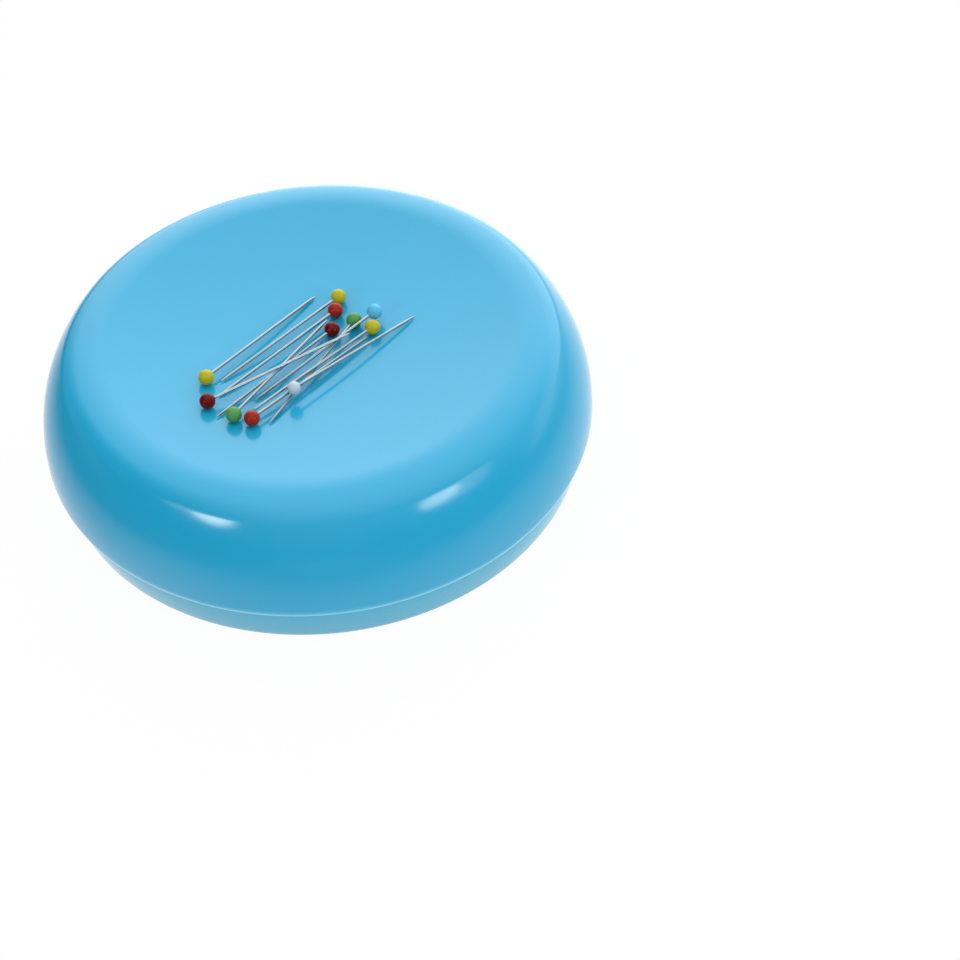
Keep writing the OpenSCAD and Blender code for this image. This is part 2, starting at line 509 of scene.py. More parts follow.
METAL = {"Metallic": 1.0}
DARK_GLOSS = {"Specular IOR Level": 0.15}

# The shell's colour carries a painted highlight that lightens it towards its lower edge.
SHELL_PLASTIC = Finish("glossy_blue_shell", (0.016, 0.368, 0.62), 0.012, 25, (0.14, 0.17), 260, 3e-6,
                       {"IOR": 1.5}, PaintedEdgeHighlight((0.07, 0.58, 0.8), 12.6 * MM, 11 * MM))
BASE_PLASTIC = Finish("glossy_blue_base", (0.022, 0.41, 0.62), 0.015, 25, (0.15, 0.2), 420, 3e-6,
                      {"IOR": 1.5, "Specular IOR Level": 0.9})
FERRITE = Finish("sintered_ferrite", (0.035, 0.035, 0.04), 0.25, 900, (0.55, 0.75), 2600, 2e-5,
                 {"Metallic": 0.25})
PLATE_STEEL = Finish("zinc_plated_plate", (0.58, 0.59, 0.61), 0.12, 220, (0.28, 0.42), 1500, 4e-6, METAL)
SCREW_STEEL = Finish("zinc_plated_screw", (0.62, 0.62, 0.63), 0.08, 900, (0.24, 0.36), 3000, 3e-6, METAL)
FOAM = Finish("closed_cell_foam", (0.022, 0.024, 0.027), 0.35, 1800, (0.8, 0.95), 2400, 1.2e-4,
              {"Specular IOR Level": 0.25})
FOOT_RUBBER = Finish("grey_rubber", (0.09, 0.095, 0.1), 0.1, 500, (0.55, 0.7), 1800, 1.5e-5,
                     {"Specular IOR Level": 0.35})
# The wire's grey is the plated steel; the blue in its colour is a painted reflection of the blue bowl.
PIN_WIRE = Finish("nickel_plated_wire", (0.33, 0.395, 0.415), 0.04, 700, (0.26, 0.34), 2500, 2e-7, METAL)


class Ball(Enum):
    """The finish of a ball head, by the record's material slot."""

    YELLOW = Finish("mustard_ball", (0.49, 0.45, 0.015), 0.03, 900, (0.22, 0.3), 1800, 3e-6, milky(0.15))
    WINE = Finish("wine_red_ball", (0.14, 0.003, 0.003), 0.06, 900, (0.08, 0.14), 1500, 3e-6, DARK_GLOSS)
    GREEN = Finish("leaf_green_ball", (0.088, 0.31, 0.085), 0.03, 900, (0.22, 0.3), 1800, 3e-6, milky(0.15))
    ORANGE = Finish("orange_red_ball", (0.33, 0.019, 0.008), 0.05, 900, (0.08, 0.14), 1500, 3e-6,
                    DARK_GLOSS)
    WHITE = Finish("white_ball", (0.5, 0.6, 0.66), 0.02, 900, (0.2, 0.28), 1800, 3e-6, milky(0.2))
    PALE_BLUE = Finish("pale_blue_ball", (0.11, 0.5, 0.76), 0.02, 900, (0.2, 0.28), 1800, 3e-6, milky(0.2))

    @classmethod
    def of_slot(cls, slot: str) -> "Ball":
        """The finish for a slot such as ball_yellow."""
        return cls[slot.removeprefix("ball_").upper()]


def dress(piece: bpy.types.Object, finish: Finish, body: str, node: str) -> None:
    """Gives a finished piece its material and its place in the frame.

    Args:
        piece: the modelled object.
        finish: its finish.
        body: the body that it moves with.
        node: the node that it stands for.
    """
    piece.data.materials.clear()
    piece.data.materials.append(finish.material())
    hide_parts(node)
    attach(piece, body)
    LOG.info("%s: %d faces, on %s", piece.name, len(piece.data.polygons), body)


# Bowl

@dataclass
class Bowl:
    """The moulded shell with its dish, and the base under it.

    Attributes:
        flank_r: radius of the bulging flank.
        shoulder_r: radius of the shoulder, between the flank and the rim's crest.
        rim_r: radius of the rim's crest.
        crest_turn: direction in degrees in which the shoulder faces where it meets the crest.
        lip_r: radius of the lip under the widest ring.
        nib_r: rounding of the shell's lower edge, which shows as a bright line.
        wall: wall of the shell.
        widest_z: height of the widest ring.
        dish_depth: depth of the dish below the rim.
        base_step: how far the base stands in from the shell at the seam.
        base_taper: how far the base tapers in towards the floor.
        base_fillet: rounding of the base's lower edge.
        base_floor: thickness of the base's floor.
        spigot_h: height of the spigot inside the shell.
        spigot_wall: wall of the spigot.
        edge: rounding of the moulded edges at the seam.
        seat_gap: gap between clamped pieces.
        slip_gap: gap between pieces that slip together.
        turns: stretches in a full turn of the big lathed forms.
    """

    flank_r: float = 29 * MM
    shoulder_r: float = 6 * MM
    rim_r: float = 20 * MM
    crest_turn: float = 80
    lip_r: float = 2.3 * MM
    nib_r: float = 0.55 * MM
    wall: float = 2.2 * MM
    widest_z: float = 12 * MM
    dish_depth: float = 3 * MM
    base_step: float = 0.5 * MM
    base_taper: float = 1.3 * MM
    base_fillet: float = 3 * MM
    base_floor: float = 2.4 * MM
    spigot_h: float = 3 * MM
    spigot_wall: float = 1.6 * MM
    edge: float = 0.25 * MM
    seat_gap: float = 0.05 * MM
    slip_gap: float = 0.15 * MM
    turns: int = 192

    def __post_init__(self) -> None:
        """Works out the section, in which each arc runs on smoothly into the next."""
        low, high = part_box("top_shell")
        self.radius = high.x
        self.height = high.z
        self.seam_z = low.z
        self.base_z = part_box("base_cover")[0].z
        self.floor_z = self.base_z + self.base_floor
        flank_x = self.radius - self.flank_r
        self.flank_c = (flank_x, self.widest_z)
        crest_z = self.height - self.rim_r
        crest_turn = math.radians(self.crest_turn)
        spare = self.rim_r - self.shoulder_r
        shoulder_z = crest_z + spare * math.sin(crest_turn)
        bend = self.flank_r - self.shoulder_r
        shoulder_turn = math.asin((shoulder_z - self.widest_z) / bend)
        self.shoulder_turn = math.degrees(shoulder_turn)
        self.shoulder_c = (flank_x + bend * math.cos(shoulder_turn), shoulder_z)
        self.rim_c = (self.shoulder_c[0] - spare * math.cos(crest_turn), crest_z)
        self.lip_c = (self.radius - self.lip_r, self.widest_z)
        lip_turn = math.asin((self.widest_z - self.seam_z) / self.lip_r)
        self.seam_r = self.lip_c[0] + self.lip_r * math.cos(lip_turn)
        rim_to_dish = (self.rim_c[0] ** 2 + self.dish_depth ** 2) / (2 * self.dish_depth)
        self.dish_r = rim_to_dish - self.rim_r
        self.dish_c = (0.0, self.height - self.dish_depth + self.dish_r)
        self.dish_slope = math.degrees(math.asin(self.rim_c[0] / rim_to_dish))
        self.land_r = self.seam_r - self.wall
        inner_flank = self.flank_r - self.wall
        self.land_turn = math.degrees(math.acos((self.land_r - flank_x) / inner_flank))
        self.screw_r = self.rim_c[0]

    def under_z(self, radius: float) -> float:
        """Height of the shell's underside at a distance from the axis."""
        return self.dish_c[1] - math.sqrt((self.dish_r + self.wall) ** 2 - radius ** 2)

    def mid_wall_z(self, radius: float) -> float:
        """Height of the middle of the dish's wall at a distance from the axis."""
        top = self.dish_c[1] - math.sqrt(self.dish_r ** 2 - radius ** 2)
        return (top + self.under_z(radius)) / 2

    def shell_outline(self) -> list[Point]:
        """The shell's section, from the seam over the rim to the axis and back inside.

        Returns:
            The section's points in order.
        """
        slope = self.dish_slope
        inner_rim = self.rim_r - self.wall
        inner_shoulder = self.shoulder_r - self.wall
        inner_flank = self.flank_r - self.wall
        inner_lip = self.lip_r - self.nib_r
        nib_z = self.seam_z + self.nib_r
        nib_turn = math.asin((self.widest_z - nib_z) / inner_lip)
        nib = (self.lip_c[0] + inner_lip * math.cos(nib_turn), nib_z)
        nib_end = -math.degrees(nib_turn)
        return (
            arc(nib, self.nib_r, -90, nib_end, steps=8)
            + arc(self.lip_c, self.lip_r, nib_end, 0, steps=10)[1:]
            + arc(self.flank_c, self.flank_r, 0, self.shoulder_turn, steps=40)[1:]
            + arc(self.shoulder_c, self.shoulder_r, self.shoulder_turn, self.crest_turn, steps=24)[1:]
            + arc(self.rim_c, self.rim_r, self.crest_turn, 90 + slope, steps=20)[1:]
            + arc(self.dish_c, self.dish_r, slope - 90, -90, steps=52)[1:]
            + arc(self.dish_c, self.dish_r + self.wall, -90, slope - 90, steps=20)
            + arc(self.rim_c, inner_rim, 90 + slope, self.crest_turn, steps=6)[1:]
            + arc(self.shoulder_c, inner_shoulder, self.crest_turn, self.shoulder_turn, steps=10)[1:]
            + arc(self.flank_c, inner_flank, self.shoulder_turn, self.land_turn, steps=10)[1:]
            + [(self.land_r, self.seam_z)]
        )

    def base_outline(self) -> list[Point]:
        """The base's section, from the axis under the floor, up the taper and down inside the spigot.

        Returns:
            The section's points in order.
        """
        top_r = self.seam_r - self.base_step
        top_z = self.seam_z - self.seat_gap
        fillet_c = (top_r - self.base_taper - self.base_fillet, self.base_z + self.base_fillet)
        reach = Vector((top_r - fillet_c[0], top_z - fillet_c[1]))
        lean = math.degrees(math.atan2(reach.y, reach.x) - math.acos(self.base_fillet / reach.length))
        spigot_r = self.land_r - self.slip_gap
        inner_r = spigot_r - self.spigot_wall
        spigot_z = self.seam_z + self.spigot_h
        shoulder = (top_r - self.edge, top_z - self.edge)
        return (
            [(0.0, self.base_z)]
            + arc(fillet_c, self.base_fillet, -90, lean, steps=14)
            + arc(shoulder, self.edge, 0, 90, steps=4)
            + [(spigot_r, top_z), (spigot_r, spigot_z), (inner_r, spigot_z)]
            + [(inner_r, self.floor_z), (0.0, self.floor_z)]
        )


@dataclass
class MagnetStack:
    """What the bowl holds inside: the ring magnet, the steel plate behind it and the foam pad.

    Attributes:
        bowl: the bowl that it sits in.
        bore_d: bore of the magnet.
        collar_wall: wall of the shell's collar round the magnet, and of the webs.
        collar_h: how far the collar reaches down the magnet's side.
        pedestal_wall: wall of the pedestal that carries the stack.
        edge: rounding of the magnet's and the plate's edges.
        pad_edge: rounding of the pad's edges.
    """

    bowl: Bowl
    bore_d: float = 24 * MM
    collar_wall: float = 1.8 * MM
    collar_h: float = 6 * MM
    pedestal_wall: float = 2.4 * MM
    edge: float = 0.4 * MM
    pad_edge: float = 0.8 * MM

    def __post_init__(self) -> None:
        """Reads the stack's heights and widths from the frame."""
        low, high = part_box("ring_magnet")
        self.magnet_r = high.x
        self.magnet_z = (low.z, high.z)
        low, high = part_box("back_plate")
        self.plate_z = (low.z, high.z)
        low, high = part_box("foam_pad")
        self.pad_r = high.x
        self.pad_z = (low.z, high.z)
        self.collar_r = self.magnet_r + self.bowl.slip_gap

    def ring(self, inner: float, outer: float, span: Point, edge: float) -> bpy.types.Object:
        """A ring or disc with rounded edges.

        Args:
            inner: the bore's radius, or 0 for a disc.
            outer: the outer radius.
            span: lower and upper height.
            edge: the rounding.

        Returns:
            The mesh object.
        """
        low, high = span
        outside = arc((outer - edge, low + edge), edge, -90, 0, EDGE_STEPS)
        outside += arc((outer - edge, high - edge), edge, 0, 90, EDGE_STEPS)
        if inner:
            inside = arc((inner + edge, high - edge), edge, 90, 180, EDGE_STEPS)
            inside += arc((inner + edge, low + edge), edge, 180, 270, EDGE_STEPS)
        else:
            inside = [(0.0, high), (0.0, low)]
        return lathe(outside + inside, ROUND_TURNS)

    def collar(self) -> bpy.types.Object:
        """The collar that hangs under the dish, round the magnet.

        Returns:
            The mesh object.
        """
        inner = self.collar_r
        outer = inner + self.collar_wall
        low = self.magnet_z[1] - self.collar_h
        section = [(inner, low), (outer, low)]
        section += [(outer, self.bowl.mid_wall_z(outer)), (inner, self.bowl.mid_wall_z(inner))]
        return lathe(section, ROUND_TURNS)

    def web(self, reach: float, degrees: float) -> bpy.types.Object:
        """One web from the collar out to a screw boss.

        Args:
            reach: the radius where it ends inside the boss.
            degrees: its direction from the axis.

        Returns:
            The mesh object.
        """
        start = self.collar_r + self.collar_wall / 2
        low = self.magnet_z[1] - self.collar_h
        blank_h = 2 * MM
        middle = ((start + reach) / 2, 0, low + blank_h / 2)
        span = (reach - start, self.collar_wall, blank_h)
        deselect_all()
        bpy.ops.mesh.primitive_cube_add(size=1, location=middle, scale=span)
        piece = bpy.context.object
        bpy.ops.object.transform_apply(location=True, rotation=True, scale=True)
        for vertex in piece.data.vertices:
            if vertex.co.z > low + blank_h / 2:
                vertex.co.z = self.bowl.mid_wall_z(vertex.co.x)
        piece.matrix_world = Matrix.Rotation(math.radians(degrees), 4, "Z")
        bpy.ops.object.transform_apply(location=True, rotation=True, scale=True)
        return piece

    def build(self) -> None:
        """Models the magnet, the plate and the pad, each in its node's place."""
        bore_r = self.bore_d / 2
        magnet = settle(self.ring(bore_r, self.magnet_r, self.magnet_z, self.edge), "magnet_ring")
        plate = settle(self.ring(0, self.magnet_r, self.plate_z, self.edge), "keeper_plate")
        pad = settle(self.ring(0, self.pad_r, self.pad_z, self.pad_edge), "pad_of_foam")
        for piece, node, slot, finish in (
            (magnet, "ring_magnet", "ferrite", FERRITE),
            (plate, "back_plate", "plate", PLATE_STEEL),
            (pad, "foam_pad", "foam", FOAM),
        ):
            dress(piece, finish, "bowl", node)


@dataclass
class Screws:
    """The case screws and everything in shell and base that they pass through.

    Attributes:
        bowl: the bowl that they close.
        count: how many there are.
        shank_d: diameter of the shank.
        length: length under the head.
        head_d: diameter of the head.
        head_h: height of the head.
        sink: depth of the counterbore.
        slot_w: width of the cross recess.
        slot_length: length of the cross recess.
        slot_depth: depth of the cross recess.
        boss_d: diameter of the bosses in the shell.
        boss_sink: how far below the rim's top the bosses end, in shell walls.
        post_extra: how much wider the base's posts are than a head.
        pilot_extra: how much deeper the pilot holes are than the screws.
        head_edge: rounding of the head.
        tip: length of the shank's tapered end.
        tip_share: share of the shank's radius that is left at the end.
        turns: stretches in a full turn of a screw.
    """

    bowl: Bowl
    count: int = 4
    shank_d: float = 3 * MM
    length: float = 14 * MM
    head_d: float = 5.6 * MM
    head_h: float = 1.9 * MM
    sink: float = 2.8 * MM
    slot_w: float = 0.9 * MM
    slot_length: float = 3.2 * MM
    slot_depth: float = 1 * MM
    boss_d: float = 7 * MM
    boss_sink: float = 0.7
    post_extra: float = 3 * MM
    pilot_extra: float = 1 * MM
    head_edge: float = 0.6 * MM
    tip: float = 1.2 * MM
    tip_share: float = 0.5
    turns: int = 48

    def __post_init__(self) -> None:
        """Works out the heights that follow from the bowl."""
        self.seat_z = self.bowl.base_z + self.sink
        self.angles = [i * 360 / self.count for i in range(self.count)]
        self.pilot_top = self.seat_z + self.length + self.pilot_extra
        self.post_d = self.head_d + self.post_extra
        self.post_top = self.bowl.widest_z - self.bowl.seat_gap

    def rods(self, diameter: float, low: float, high: float) -> list[bpy.types.Object]:
        """One upright cylinder at each screw."""
        return [rod(diameter / 2, low, high, on_circle(self.bowl.screw_r, a)) for a in self.angles]

    def one(self) -> bpy.types.Object:
        """A single screw on its own axis, with a rounded head and a cross recess.

        Returns:
            The mesh object.
        """
        head_r = self.head_d / 2
        shank_r = self.shank_d / 2
        under = self.seat_z - self.bowl.seat_gap
        low = under - self.head_h
        high = self.seat_z + self.length
        crown = arc((head_r - self.head_edge, low + self.head_edge), self.head_edge, -90, 0, steps=6)
        outline = [(0.0, low)] + crown
        outline += [(head_r, under), (shank_r, under), (shank_r, high - self.tip)]
        outline += [(shank_r * self.tip_share, high), (0.0, high)]
        screw = settle(lathe(outline, self.turns), "screw_blank")
        span = (self.slot_length, self.slot_w, 2 * self.slot_depth)
        for turn in (0, 90):
            deselect_all()
            bpy.ops.mesh.primitive_cube_add(size=1, location=(0, 0, low), scale=span)
            blade = bpy.context.object
            blade.rotation_euler.z = math.radians(turn)
            combine(screw, blade, Boolean.CUT)
        return screw

    def build(self) -> None:
        """Models the screws as one piece of separate bodies."""
        blank = self.one()
        copies = []
        for angle in self.angles:
            copy = blank.copy()
            copy.data = blank.data.copy()
            bpy.context.collection.objects.link(copy)
            copy.matrix_world = Matrix.Translation(on_circle(self.bowl.screw_r, angle))
            copies.append(copy)
        bpy.data.objects.remove(blank)
        choose(copies[0])
        for copy in copies:
            copy.select_set(True)
        bpy.ops.object.join()
        screws = settle(bpy.context.object, "cross_head_screws")
        dress(screws, SCREW_STEEL, "bowl", "case_screws")


@dataclass
class Feet:
    """The four rubber feet.

    Attributes:
        bowl: the bowl that stands on them.
        nodes: the feet's nodes.
        edge: rounding of a foot's edge.
        groove_r: radii of the two grooves in the sole.
        groove: width and depth of a groove.
        glue_gap: gap between a foot and its recess.
        turns: stretches in a full turn of a foot.
    """

    bowl: Bowl
    nodes: tuple[str, ...] = ("foot_front_right", "foot_back_right", "foot_back_left", "foot_front_left")
    edge: float = 0.3 * MM
    groove_r: Point = (2.2 * MM, 4 * MM)
    groove: float = 0.25 * MM
    glue_gap: float = 0.15 * MM
    turns: int = 64

    def middle(self, node: str) -> Vector:
        """The point on the floor under a foot's middle."""
        low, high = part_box(node)
        return Vector(((low.x + high.x) / 2, (low.y + high.y) / 2, 0))

    def size(self, node: str) -> Point:
        """A foot's radius and thickness."""
        low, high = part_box(node)
        return (high.x - low.x) / 2, high.z

    def recesses(self) -> list[bpy.types.Object]:
        """The bodies that cut the feet's recesses out of the base.

        Returns:
            The mesh objects.
        """
        found = []
        for node in self.nodes:
            radius, top = self.size(node)
            recess_top = top + self.bowl.seat_gap
            found.append(rod(radius + self.glue_gap, -PAST, recess_top, self.middle(node), self.turns))
        return found

    def build(self) -> None:
        """Models each foot with a rounded edge and a grooved sole."""
        for node in self.nodes:
            radius, top = self.size(node)
            g = self.groove
            outline = [(0.0, 0.0)]
            for r in self.groove_r:
                outline += [(r - g, 0.0), (r - g / 2, g), (r + g / 2, g), (r + g, 0.0)]
            outline += arc((radius - self.edge, self.edge), self.edge, -90, 0, EDGE_STEPS)
            outline += [(radius, top), (0.0, top)]
            piece = lathe(outline, self.turns)
            piece.location = self.middle(node)
            settle(piece, node.replace("foot", "rubber_foot"))
            dress(piece, FOOT_RUBBER, "bowl", node)


@dataclass
class Case:
    """The two mouldings, with all that is moulded on them.

    Attributes:
        bowl: their sections.
        stack: the magnet stack that they hold.
        screws: the screws that join them.
        feet: the feet under the base.
    """

    bowl: Bowl
    stack: MagnetStack
    screws: Screws
    feet: Feet

    def merged(self, bodies: list[bpy.types.Object]) -> bpy.types.Object:
        """All the bodies as one.

        Args:
            bodies: the bodies, which overlap.

        Returns:
            The first of them, with the others joined on.
        """
        first, *rest = bodies
        for body in rest:
            combine(first, body, Boolean.JOIN)
        return first

    def shell(self) -> None:
        """Models the shell, with its collar, webs and bosses."""
        bowl, screws = self.bowl, self.screws
        pilot_d = screws.shank_d + 2 * bowl.seat_gap
        reach = bowl.screw_r - (pilot_d + screws.boss_d) / 4
        inside = [self.stack.collar()]
        inside += [self.stack.web(reach, angle) for angle in screws.angles]
        inside += screws.rods(screws.boss_d, bowl.widest_z, bowl.height - screws.boss_sink * bowl.wall)
        fittings = self.merged(inside)
        for pilot in screws.rods(pilot_d, bowl.widest_z - PAST, screws.pilot_top):
            combine(fittings, pilot, Boolean.CUT)
        piece = lathe(bowl.shell_outline(), bowl.turns)
        combine(piece, fittings, Boolean.JOIN)
        settle(piece, "moulded_shell")
        dress(piece, SHELL_PLASTIC, "bowl", "top_shell")

    def base(self) -> None:
        """Models the base, with its pedestal, posts, counterbores and foot recesses."""
        bowl, screws, stack = self.bowl, self.screws, self.stack
        sunk = bowl.floor_z - PAST
        seat = stack.pad_z[0] - bowl.seat_gap
        hollow_r = stack.pad_r - stack.pedestal_wall
        pedestal = rod(stack.pad_r, sunk, seat, Vector(), ROUND_TURNS)
        hollow = rod(hollow_r, bowl.floor_z, seat + PAST, Vector(), ROUND_TURNS)
        combine(pedestal, hollow, Boolean.CUT)
        fittings = self.merged([pedestal, *screws.rods(screws.post_d, sunk, screws.post_top)])
        piece = lathe(bowl.base_outline(), bowl.turns)
        combine(piece, fittings, Boolean.JOIN)
        sink_d = screws.head_d + 4 * bowl.slip_gap
        hole_d = screws.shank_d + 2 * bowl.slip_gap
        cuts = screws.rods(sink_d, 0, screws.seat_z) + screws.rods(hole_d, 0, screws.post_top + PAST)
        for cut in cuts + self.feet.recesses():
            combine(piece, cut, Boolean.CUT)
        settle(piece, "moulded_base")
        dress(piece, BASE_PLASTIC, "bowl", "base_cover")

    def build(self) -> None:
        """Models both mouldings."""
        self.shell()
        self.base()


# Pins

@dataclass
class Pin:
    """One loose pin: a ground wire and the ball head fixed on it.

    Attributes:
        body: the body's name in the frame.
        slot: the material slot of its ball.
        wire_r: the wire's radius.
        ground: length of the ground point.
        seat: how far the wire runs past the ball's middle.
        point_r: radius at the very point.
        collar_r: radius of the bead's small collar round the wire.
        collar_h: height of that collar.
        taper_start: power that sets how softly the point's curve begins.
        taper_end: power that sets how bluntly it ends.
        tip_zone: how near to the farthest vertex of the frame's wire its tip is.
        turns: stretches in a full turn of the wire.
    """

    body: str
    slot: str
    wire_r: float = 0.3 * MM
    ground: float = 3 * MM
    seat: float = 0.55 * MM
    point_r: float = 0.035 * MM
    collar_r: float = 0.55 * MM
    collar_h: float = 0.12 * MM
    taper_start: float = 1.6
    taper_end: float = 1.3
    tip_zone: float = 0.05 * MM
    turns: int = 28

    def __post_init__(self) -> None:
        """Finds the ball's middle and the point in the frame."""
        low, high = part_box(f"{self.body}_head")
        self.middle = (low + high) / 2
        self.ball_r = (high.z - low.z) / 2
        points = [v.co for v in frame["nodes"][f"{self.body}_shaft"].data.vertices]
        far = max((p - self.middle).length for p in points)
        tips = [p for p in points if (p - self.middle).length > far - self.tip_zone]
        self.point = sum(tips, Vector()) / len(tips)
        self.run = (self.point - self.middle).length

    def lay(self, piece: bpy.types.Object) -> bpy.types.Object:
        """Turns a piece that stands on its axis to where the pin lies.

        Args:
            piece: the piece, with the ball's middle at the origin and the point upwards.

        Returns:
            The same object.
        """
        turn = (self.point - self.middle).to_track_quat("Z", "Y").to_matrix().to_4x4()
        piece.matrix_world = Matrix.Translation(self.middle) @ turn
        return piece

    def wire(self) -> None:
        """Models the wire, with its ground point in a slight curve."""
        start = -self.seat
        steps = 8
        outline = [(0.0, start), (self.wire_r, start), (self.wire_r, self.run - self.ground)]
        for i in range(1, steps + 1):
            share = math.sqrt(1 - (i / steps) ** self.taper_start) ** self.taper_end
            radius = self.point_r + (self.wire_r - self.point_r) * share
            outline.append((radius, self.run - self.ground + self.ground * i / steps))
        outline.append((0.0, self.run + self.point_r))
        piece = settle(self.lay(lathe(outline, self.turns)), f"{self.body}_wire", sharp=50)
        dress(piece, PIN_WIRE, self.body, f"{self.body}_shaft")

    def ball(self) -> None:
        """Models the ball, drawn out into a small collar where the wire enters."""
        deselect_all()
        bpy.ops.mesh.primitive_uv_sphere_add(segments=40, ring_count=28, radius=self.ball_r)
        piece = bpy.context.object
        for vertex in piece.data.vertices:
            off = math.hypot(vertex.co.x, vertex.co.y)
            if vertex.co.z > 0 and off < self.collar_r:
                vertex.co.z += self.collar_h * (1 - (off / self.collar_r) ** 2)
        settle(self.lay(piece), f"{self.body}_ball", sharp=60)
        dress(piece, Ball.of_slot(self.slot).value, self.body, f"{self.body}_head")

    def build(self) -> None:
        """Models both of the pin's pieces."""
        self.wire()
        self.ball()


def loose_pins() -> list[Pin]:
    """Every pin of the frame, with the slot of its ball."""
    slots = {row["node"]: row["material_slot"] for row in frame["record"]["subparts"]}
    return [Pin(body, slots[f"{body}_head"]) for body in frame["bodies"] if body.startswith("pin_")]


# Studio

@dataclass(frozen=True)
class Viewpoint:
    """The camera: where it looks from, and where the base's middle falls in its picture.

    Attributes:
        lens_mm: focal length.
        sensor_mm: width of the sensor.
        frame_px: width and height of the square picture.
        elevation: downward look in degrees.
        roll: turn of the picture in degrees.
        foot_px: where the middle of the base's lower edge falls in the picture.
        px_per_mm: the picture's scale there.
        foot_z: height of that middle.
        near_clip: how near the camera begins to see.
    """

    lens_mm: float = 75
    sensor_mm: float = 36
    frame_px: int = 960
    elevation: float = 46.28
    roll: float = 2.93
    foot_px: Point = (324.67, 442.37)
    px_per_mm: float = 4.647
    foot_z: float = 0.5 * MM
    near_clip: float = 0.01

    def build(self) -> None:
        """Adds the camera and makes it the scene's."""
        focal_px = self.lens_mm / self.sensor_mm * self.frame_px
        distance = focal_px / self.px_per_mm * MM
        tilt = math.radians(self.elevation)
        roll = math.radians(self.roll)
        ahead = Vector((0, math.cos(tilt), -math.sin(tilt)))
        across = Vector((1, 0, 0))
        down = ahead.cross(across)
        right = math.cos(roll) * across + math.sin(roll) * down
        below = math.cos(roll) * down - math.sin(roll) * across
        offset = [(p - self.frame_px / 2) / focal_px * distance for p in self.foot_px]
        eye = Vector((0, 0, self.foot_z)) - ahead * distance - right * offset[0] - below * offset[1]
        bpy.ops.object.camera_add(location=eye)
        camera = bpy.context.object
        camera.data.lens = self.lens_mm
        camera.data.sensor_width = self.sensor_mm
        camera.data.dof.use_dof = False
        camera.data.clip_start = self.near_clip
        turn = Matrix((right, -below, -ahead)).transposed().to_4x4()
        camera.matrix_world = Matrix.Translation(eye) @ turn
        bpy.context.scene.camera = camera


@dataclass(frozen=True)
class Softbox:
    """An oval studio light that faces the bowl.

    Attributes:
        name: what it is called.
        towards: direction from the bowl to the light.
        distance: how far it stands.
        width: its width.
        height: its height.
        power: its power in watts.
        mirrored: whether it shows in glossy surfaces.
    """

    name: str
    towards: tuple[float, float, float]
    distance: float
    width: float
    height: float
    power: float
    mirrored: bool = True

    def build(self) -> None:
        """Adds the light."""
        direction = Vector(self.towards).normalized()
        bpy.ops.object.light_add(type="AREA", location=direction * self.distance)
        lamp = bpy.context.object
        lamp.name = self.name
        lamp.data.shape = "ELLIPSE"
        lamp.data.size = self.width
        lamp.data.size_y = self.height
        lamp.data.energy = self.power
        lamp.rotation_euler = direction.to_track_quat("Z", "Y").to_euler()
        lamp.visible_glossy = self.mirrored


@dataclass(frozen=True)
class Fall:
    """How light falls off along a direction or a distance.

    Attributes:
        span: the values between which it changes.
        levels: the light at both ends.
    """

    span: Point
    levels: Point


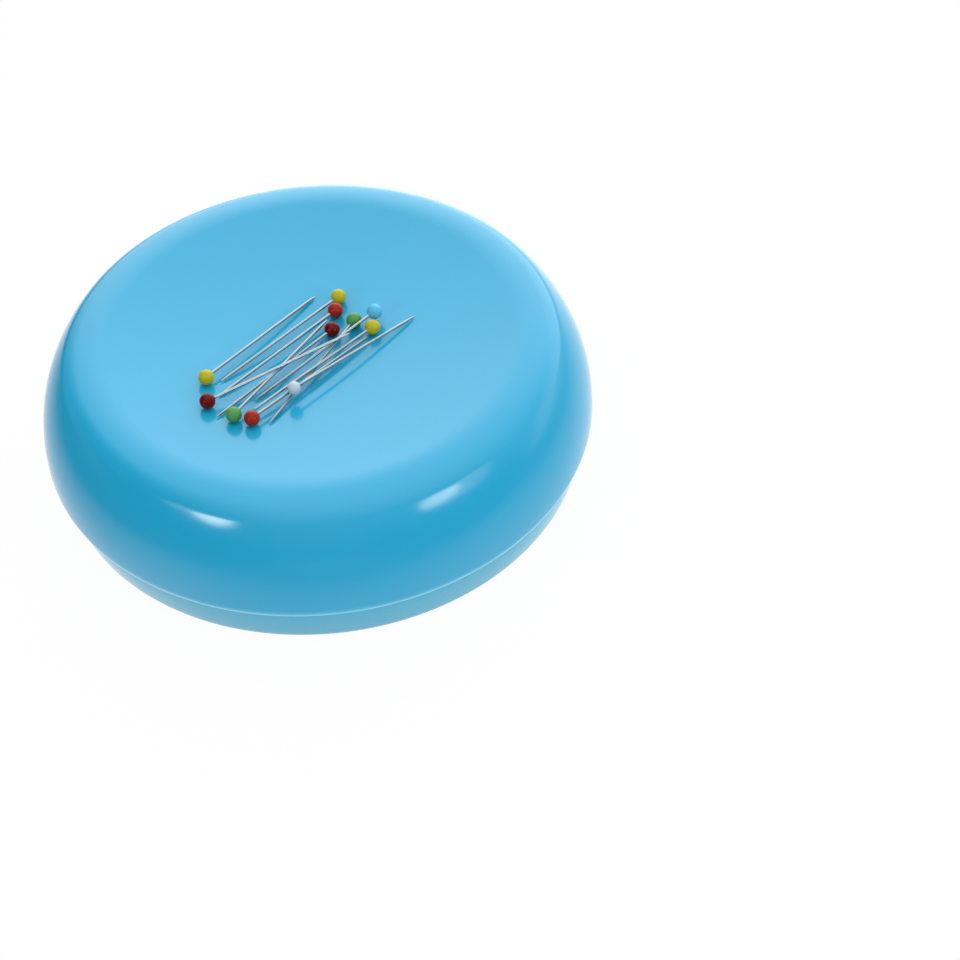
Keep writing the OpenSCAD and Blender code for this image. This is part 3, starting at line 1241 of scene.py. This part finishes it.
@dataclass(frozen=True)
class Studio:
    """A plain pale floor, a soft room and the lamps.

    The room is bright low behind the bowl, even overhead, and dim on the viewer's side and at the
    sides. What glossy surfaces mirror of the floor is brightest behind the bowl as well.

    Attributes:
        floor_size: width of the floor.
        floor_drop: how far it lies below the feet.
        floor_colour: brightness of the floor.
        floor_glow: share of plain white in what the camera sees of the floor.
        overhead: the room by the angle in radians from the horizon behind the bowl over the top.
        viewer_side: what is left of that on the viewer's side, by the same angle.
        room_sides: what is left of it at the left and right, by the direction's X.
        floor_depth: the mirrored floor in front of and behind the bowl, by Y.
        floor_sides: what is left of that at the left and right, by X.
        lamps: the softboxes.
    """

    floor_size: float = 8
    floor_drop: float = 0.02 * MM
    floor_colour: float = 0.86
    floor_glow: float = 0.97
    overhead: Fall = Fall((0.45, 1), (2.85, 1.54))
    viewer_side: Fall = Fall((1.45, 3.4), (1, 0))
    room_sides: tuple[Fall, ...] = (Fall((-0.8, -0.1), (0.07, 1)), Fall((0.16, 1.4), (1, 0.23)))
    floor_depth: tuple[Fall, ...] = (Fall((-0.14, -0.05), (0.3, 1.25)), Fall((0.02, 0.25), (1, 2.4)))
    floor_sides: tuple[Fall, ...] = (Fall((-0.16, -0.035), (0, 1)), Fall((0.03, 0.2), (1, 0.22)))
    lamps: tuple[Softbox, ...] = (
        Softbox("left_softbox", (-0.607, -0.669, 0.425), 1.2, 0.32, 0.2, 2.0),
        Softbox("left_spill", (-0.72, -0.51, 0.45), 1.2, 0.36, 0.28, 0.42),
        Softbox("right_softbox", (0.69, -0.61, 0.39), 1.2, 0.34, 0.2, 1.4),
        Softbox("right_spill", (0.81, -0.43, 0.37), 1.2, 0.42, 0.32, 0.55),
        Softbox("front_fill", (0, -0.97, 0.25), 1.3, 0.9, 0.4, 0.5, mirrored=False),
    )

    def light(self, tree: Tree, pairs: list[tuple[Fall, Socket]]) -> Socket:
        """The light that several falls leave together.

        Args:
            tree: the nodes that it is worked out in.
            pairs: each fall with the value that it depends on.

        Returns:
            The product of the falls.
        """
        total, *rest = [tree.remap(value, fall.span, fall.levels, Curve.SOFT) for fall, value in pairs]
        for level in rest:
            total = tree.reckon("MULTIPLY", total, level)
        return total

    def floor(self) -> None:
        """Adds the floor, which is plain white apart from the bowl's soft shadow."""
        deselect_all()
        bpy.ops.mesh.primitive_plane_add(size=self.floor_size, location=(0, 0, -self.floor_drop))
        floor = bpy.context.object
        floor.name = "studio_floor"
        material = bpy.data.materials.new("pale_floor")
        tree = Tree(material)
        tree.clear()
        x, y, _ = tree.axes("Object")
        falls = [(fall, y) for fall in self.floor_depth] + [(fall, x) for fall in self.floor_sides]
        strength = tree.add("ShaderNodeMix")
        strength.inputs["A"].default_value = 1
        tree.join(tree.rays("Is Glossy Ray"), strength.inputs["Factor"])
        tree.join(self.light(tree, falls), strength.inputs["B"])
        glow = tree.add("ShaderNodeEmission")
        tree.join(strength.outputs["Result"], glow.inputs["Strength"])
        white = tree.rays("Is Camera Ray", "Is Transmission Ray", "Is Glossy Ray")
        share = tree.reckon("MULTIPLY", white)
        share.node.inputs[1].default_value = self.floor_glow
        paper = tree.add("ShaderNodeBsdfDiffuse")
        paper.inputs["Color"].default_value = (self.floor_colour,) * 3 + (1,)
        tree.show(share, paper.outputs[0], glow.outputs[0], "ShaderNodeOutputMaterial")
        floor.data.materials.append(material)

    def world(self) -> None:
        """Lights the room by direction, and stands the object before plain white."""
        world = bpy.data.worlds.new("studio")
        bpy.context.scene.world = world
        tree = Tree(world)
        tree.clear()
        x, y, z = tree.axes("Generated")
        climb = tree.reckon("ARCTAN2", z, y)
        falls = [(self.overhead, climb), (self.viewer_side, climb)]
        falls += [(fall, x) for fall in self.room_sides]
        room = tree.add("ShaderNodeBackground")
        tree.join(self.light(tree, falls), room.inputs["Strength"])
        white = tree.add("ShaderNodeBackground")
        for background in (room, white):
            background.inputs["Color"].default_value = (1, 1, 1, 1)
        direct = tree.rays("Is Camera Ray", "Is Transmission Ray")
        tree.show(direct, room.outputs[0], white.outputs[0], "ShaderNodeOutputWorld")

    def build(self) -> None:
        """Builds the floor, the room and the lamps."""
        bpy.context.scene.view_settings.view_transform = "Standard"
        self.floor()
        self.world()
        for lamp in self.lamps:
            lamp.build()


def main() -> None:
    """Builds the bowl, its pins and the studio in order."""
    logging.basicConfig(level=logging.INFO, format="%(name)s: %(message)s")
    Viewpoint().build()
    bowl = Bowl()
    stack = MagnetStack(bowl)
    screws = Screws(bowl)
    feet = Feet(bowl)
    Case(bowl, stack, screws, feet).build()
    stack.build()
    screws.build()
    feet.build()
    for pin in loose_pins():
        pin.build()
    Studio().build()


if __name__ == "__main__":
    main()
